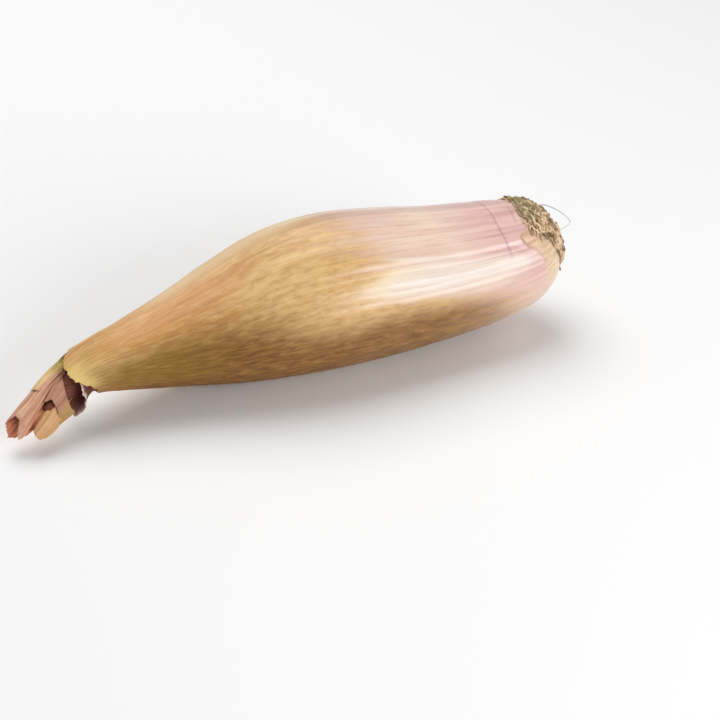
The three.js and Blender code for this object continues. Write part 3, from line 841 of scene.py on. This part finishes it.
# Painted shade: the outside face is dark away from its lip, and as dark as the inside where it stands
# within the collar.
outside_tone = lip_share.step(0.4, 0.1).blend(outside_tone, colour(84, 40, 26))
outside_tone = sheath_shift.step(-1.0, 0.0).blend(outside_tone, red_and_shade)
sheath_tone = inside_share.step(0.3, 0.7).blend(outside_tone, red_and_shade)
sheath_tone = (lip_share * sheath_shift.step(0.2, -0.6)).blend(sheath_tone, colour(232, 206, 196))
sheath_rough = 0.5 + 0.25 * sheath_grain
wire(shade, Base_Color=sheath_tone, Roughness=sheath_rough, Normal=sheath_grain.bumps(0.5, 0.3))
sheath_extra = {"sheath": sheath_carried, "place": sheath_points}
add_mesh("inner_sheath_cup", sheath_points, sheath_faces, red_sheath, "inner_sheath",
         sheath_extra, sharp=60)

# ---------------------------------------------------------------- dry leaves
# The dried bases of the leaves come out of the sheath as one flat bundle and hang down to a torn tip.
# They are sheets like thick paper, folded along the bundle and stuck together at a dark stem.

LEAF_THICK = 0.42
LEAF_PLEAT = 0.13
# The middle line of the bundle, the way its broad face looks, and the way it runs on past its tip.
BUNDLE_LINE = np.array([
    (-55.0, -3.2, 15.5),
    (-59.3, -4.4, 13.7),
    (-64.2, -6.8, 11.1),
    (-69.2, -9.7, 8.6),
    (-76.9, -13.6, 5.1),
])
BUNDLE_FACE = np.array([-0.31, -0.78, 0.54])
TIP_WAY = np.array([-0.83, -0.4, -0.37])
bundle_track = through(BUNDLE_LINE, np.linspace(0, len(BUNDLE_LINE) - 1, 401))
bundle_steps = np.linalg.norm(np.diff(bundle_track, axis=0), axis=1)
BUNDLE_LENGTH = bundle_steps.sum()
bundle_share = np.concatenate([[0], np.cumsum(bundle_steps)]) / BUNDLE_LENGTH


def in_bundle(t, across, out):
    """A point of the bundle: its share of the way along, and how far down across it and out of its face."""
    def middle(share):
        held = np.clip(share, 0, 1)
        spot = np.stack([np.interp(held, bundle_share, bundle_track[:, k]) for k in range(3)], -1)
        return spot + np.asarray(share - held)[..., None] * BUNDLE_LENGTH * TIP_WAY

    ways = middle(t + 0.02) - middle(t - 0.02)
    ways /= np.linalg.norm(ways, axis=-1, keepdims=True)
    face = BUNDLE_FACE - ways * (ways @ BUNDLE_FACE)[..., None]
    face /= np.linalg.norm(face, axis=-1, keepdims=True)
    return middle(t) + np.cross(face, ways) * across[..., None] + face * out[..., None]


def leaf(name, sections, start, end, tints, seed, washes=()):
    """One dried leaf. Its sections, each at a share of the way along, are rows of [across, out] points.

    Its start and end are such shares, from edge to edge. Its tints are light, dark and deep. A wash is a
    tint laid on from one distance to another, along or across.
    """
    rows, columns = 72, 60
    # How far along the bundle each point is, between a clean start and a ragged end.
    i = np.linspace(0, 1, rows + 1)[:, None]
    v = np.linspace(0, 1, columns + 1)
    where = v * TURN * 0.98  # not quite a whole turn, so that the two edges differ
    one_place = np.full(columns + 1, 0.5)
    edge = patches(one_place, where, 1, 15, seed) + 0.6 * patches(one_place, where, 1, 37, seed + 1)
    from_t = np.interp(v, np.linspace(0, 1, len(start)), start)
    to_t = np.interp(v, np.linspace(0, 1, len(end)), end) + 0.012 * edge
    t = from_t + (to_t - from_t) * i

    # The middle of the sheet, read off the sections, with small pleats along it.
    shares = np.array([share for share, _ in sections])
    shapes = np.array([np.ravel(points) for _, points in sections], float)
    flat = through(shapes, np.interp(t, shares, np.arange(len(shares))))
    bends = flat.reshape(rows + 1, columns + 1, -1, 2)
    bend_count = bends.shape[2]
    section = np.empty((rows + 1, columns + 1, 2))
    for j in range(columns + 1):
        bend_line = bends[:, j].transpose(1, 0, 2).reshape(bend_count, -1)
        section[:, j] = through(bend_line, v[j:j + 1] * (bend_count - 1))[0].reshape(rows + 1, 2)
    middle = in_bundle(t, section[..., 0], section[..., 1])
    normal = np.cross(np.gradient(middle, axis=0), np.gradient(middle, axis=1))
    normal /= np.linalg.norm(normal, axis=-1, keepdims=True)
    ridges = LEAF_PLEAT * np.cos(TURN * (5.5 * v + 0.5 * patches(t * 12, where, 3, 5, seed + 2)))
    ridges += 0.6 * LEAF_PLEAT * patches(t * 26, where, 2.2, 14, seed + 3)
    middle = middle + normal * (ridges * rise(0, 0.1, i))[..., None]

    # The sheet's two faces, which come close together at its border, and the faces round that border.
    border = np.minimum(np.minimum(i, 1 - i) * rows / 4, np.minimum(v, 1 - v) * columns / 4)
    border = np.clip(border, 0, 1)
    half = (LEAF_THICK / 2 * (0.35 + 0.65 * np.sqrt(border)))[..., None]
    points = np.stack([middle + normal * half, middle - normal * half]).reshape(-1, 3)
    row = columns + 1
    under = (rows + 1) * row
    faces = []
    for r in range(rows):
        for c in range(columns):
            a = r * row + c
            faces.append((a, a + row, a + row + 1, a + 1))
            faces.append((under + a, under + a + 1, under + a + row + 1, under + a + row))
    edges = []
    for r in range(rows):
        edges += [(r * row, (r + 1) * row), ((r + 1) * row + columns, r * row + columns)]
    for c in range(columns):
        edges += [(c + 1, c), (rows * row + c, rows * row + c + 1)]
    faces += [(a, under + a, under + b, b) for a, b in edges]

    # What its points carry: how far along and across the leaf they are, and how far in from the border.
    width = np.concatenate([[0], np.cumsum(np.linalg.norm(np.diff(middle[rows // 2], axis=0), axis=1))])
    carried = np.stack([t * BUNDLE_LENGTH, np.broadcast_to(width, t.shape), border], -1).reshape(-1, 3)

    paper, shade = finish(name + "_paper", IOR=1.42)
    grown, (leaf_along, leaf_width, leaf_border) = attribute(shade, "leaf")
    light, dark, deep = tints
    fibre = grown.grain((0.07, 1, 1), 1.15, 3, 0.55)
    stain = grown.grain((0.35, 1, 1), 0.42, 3, 0.55)
    hair = grown.grain((0.05, 1, 1), 4.2, 2, 0.6)
    leaf_tone = fibre.step(0.36, 0.66).blend(colour(*light), colour(*dark))
    leaf_tone = layered(leaf_tone, [
        (stain.step(0.54, 0.74) * 0.55, deep),
        (hair.step(0.52, 0.7) * 0.2, deep),
    ])
    for way, first, last, wash in washes:
        distance = leaf_along if way == "along" else leaf_width
        leaf_tone = (distance.step(first, last) * (0.7 + 0.4 * fibre)).blend(leaf_tone, colour(*wash))
    # A painted highlight, pinkish, along the leaf's border.
    leaf_tone = (leaf_border.step(0.7, 0.0) * 0.3).blend(leaf_tone, colour(214, 170, 146))
    leaf_bump = (fibre + 0.35 * hair).bumps(0.5, 0.4)
    wire(shade, Base_Color=leaf_tone, Roughness=0.5 + 0.2 * fibre, Normal=leaf_bump)
    leaf_extra = {"leaf": np.concatenate([carried, carried])}
    add_mesh(name, points, faces, paper, "dry_leaves", leaf_extra, sharp=55)


leaf(
    "upper_leaf",
    [
        (-0.08, [(1.4, -5.0), (-2.0, -5.1), (-4.6, -3.0), (-5.5, -0.4), (-5.0, 2.2), (-4.0, 3.6)]),
        (0.03, [(1.6, -4.6), (-2.0, -4.9), (-5.0, -2.9), (-5.95, -0.3), (-5.4, 2.2), (-4.4, 3.5)]),
        (0.1, [(1.8, -4.0), (-1.8, -4.4), (-5.1, -2.7), (-6.25, -0.3), (-5.6, 1.9), (-4.5, 3.1)]),
        (0.19, [(2.4, -2.8), (-1.5, -3.2), (-5.0, -2.1), (-6.1, -0.1), (-5.2, 1.6), (-4.0, 2.4)]),
        (0.3, [(2.4, -2.8), (-1.5, -2.9), (-5.2, -2.0), (-6.4, 0.0), (-5.2, 1.5), (-3.8, 2.15)]),
        (0.45, [(2.4, -2.8), (-1.5, -2.9), (-5.4, -1.9), (-6.7, 0.1), (-5.6, 1.5), (-4.2, 2.2)]),
        (0.62, [(2.2, -2.6), (-1.5, -2.6), (-5.4, -1.7), (-6.7, 0.1), (-5.6, 1.4), (-4.4, 2.1)]),
    ],
    [0.0, -0.06, -0.06, -0.06, -0.04, 0.06],
    [0.7, 0.68, 0.6, 0.53, 0.53, 0.5],
    ((236, 204, 146), (218, 182, 124), (186, 148, 92)),
    seed=51,
    washes=[
        ("across", 12.2, 14.8, (208, 158, 130)),
        ("along", 8.5, 5.5, (190, 166, 88)),
        # A dark foot where the leaf goes into the collar: olive-brown, darkened by painted shade.
        ("along", 5.6, 3.6, (112, 88, 34)),
    ],
)
leaf(
    "long_leaf",
    [
        (0.17, [(-3.4, -1.6), (-4.4, -0.2), (-4.2, 0.9), (-3.4, 1.4), (-2.6, 1.1), (-2.0, 0.0)]),
        (0.3, [(-4.9, -1.9), (-5.6, -0.2), (-5.0, 0.9), (-4.2, 1.6), (-3.3, 1.3), (-2.8, 0.1)]),
        (0.5, [(-5.4, -1.8), (-6.3, -0.2), (-5.4, 0.9), (-4.2, 1.9), (-3.0, 1.5), (-2.5, 0.2)]),
        (0.7, [(-5.2, -1.8), (-6.3, -0.2), (-5.3, 0.9), (-3.7, 2.0), (-2.3, 1.6), (-1.8, 0.2)]),
        (0.86, [(-4.6, -1.9), (-6.1, -0.6), (-5.4, 0.6), (-3.5, 1.5), (-1.5, 1.6), (-0.6, 0.3)]),
        (1.02, [(-4.8, -1.9), (-6.0, -1.1), (-4.6, 0.0), (-2.8, 0.6), (-0.9, 0.9), (0.1, 0.1)]),
    ],
    [0.17, 0.17, 0.18, 0.2, 0.22, 0.24],
    [0.93, 0.95, 0.9, 0.84, 0.86, 0.97, 1.01, 0.93],
    ((224, 176, 144), (192, 138, 110), (140, 88, 70)),
    seed=61,
)
leaf(
    "torn_leaf",
    [
        (0.2, [(-2.8, -0.6), (-2.2, 0.8), (-0.6, 1.9), (1.4, 1.8), (3.0, 0.6), (3.6, -0.8)]),
        (0.34, [(-3.8, -0.2), (-3.0, 1.2), (-1.2, 2.4), (1.4, 2.4), (3.8, 1.2), (5.0, -0.8)]),
        (0.46, [(-3.4, -0.2), (-2.6, 1.4), (-1.0, 2.6), (1.4, 2.5), (3.8, 1.2), (5.2, -0.8)]),
        (0.62, [(-2.6, -0.2), (-2.0, 1.4), (-0.8, 2.5), (1.2, 2.4), (3.2, 1.2), (4.3, -0.8)]),
    ],
    [0.21, 0.25, 0.32, 0.4, 0.45, 0.44],
    [0.66, 0.58, 0.52, 0.55, 0.61, 0.63],
    ((196, 144, 118), (176, 122, 98), (138, 86, 66)),
    seed=71,
    washes=[("across", 7.6, 10.0, (176, 140, 82))],
)
leaf(
    "lower_leaf",
    [
        (0.4, [(-1.4, -0.6), (-0.2, 0.4), (1.2, 1.0), (2.8, 0.7), (3.7, -0.8), (2.8, -2.3), (0.5, -2.6)]),
        (0.56, [(-1.6, -0.4), (-0.4, 0.9), (1.2, 1.7), (2.9, 1.3), (3.9, -0.4), (3.0, -2.2), (0.5, -2.6)]),
        (0.72, [(-0.7, -0.4), (0.4, 1.1), (1.8, 2.0), (3.3, 1.4), (4.2, -0.3), (3.2, -2.0), (0.8, -2.4)]),
        (0.9, [(0.6, -0.5), (1.0, 0.5), (1.8, 1.1), (2.7, 0.8), (3.3, -0.3), (2.6, -1.6), (1.0, -2.0)]),
    ],
    [0.42, 0.42, 0.44, 0.46, 0.5, 0.52, 0.52],
    [0.8, 0.85, 0.88, 0.88, 0.83, 0.78, 0.78],
    ((214, 168, 120), (202, 154, 104), (158, 108, 66)),
    seed=81,
)
leaf(
    "tip_leaf",
    [
        (0.5, [(-5.0, -1.4), (-4.0, -0.8), (-2.6, -0.4), (-1.0, -0.2), (0.6, -0.6)]),
        (0.75, [(-5.2, -1.4), (-4.2, -0.9), (-2.6, -0.5), (-0.8, -0.3), (0.6, -0.7)]),
        (0.92, [(-5.7, -1.0), (-4.6, -1.3), (-3.0, -1.2), (-1.4, -0.8), (0.0, -0.4)]),
        (1.05, [(-5.0, -0.4), (-4.2, -1.0), (-3.0, -1.1), (-2.0, -0.8), (-1.0, 0.0)]),
    ],
    [0.5, 0.5, 0.5, 0.5, 0.5],
    [0.96, 1.0, 1.04, 1.0, 0.92],
    ((232, 156, 122), (186, 98, 74), (124, 52, 38)),
    seed=91,
)

# The stem that the leaves are stuck to, which shows only as the dark middle of the bundle. Its dark
# red-brown is partly painted shade between the leaves.
stem_count = 16
stem_middle = in_bundle(np.linspace(0, 0.6, stem_count), np.zeros(stem_count), np.zeros(stem_count))
stem_points, stem_faces = tube(stem_middle, np.linspace(7.4, 3.4, stem_count), 40)
dark_stem, shade = finish("dark_stem", Roughness=0.6, IOR=1.4)
place, _ = attribute(shade, "place")
stem_grain = place.grain((0.2, 1, 1), 1.6, 3, 0.6)
stem_tone = stem_grain.step(0.3, 0.7).blend(colour(124, 66, 48), colour(92, 44, 32))
wire(shade, Base_Color=stem_tone, Normal=stem_grain.bumps(0.5, 0.3))
add_mesh("leaf_stem", stem_points, stem_faces, dark_stem, "dry_leaves", {"place": stem_points})
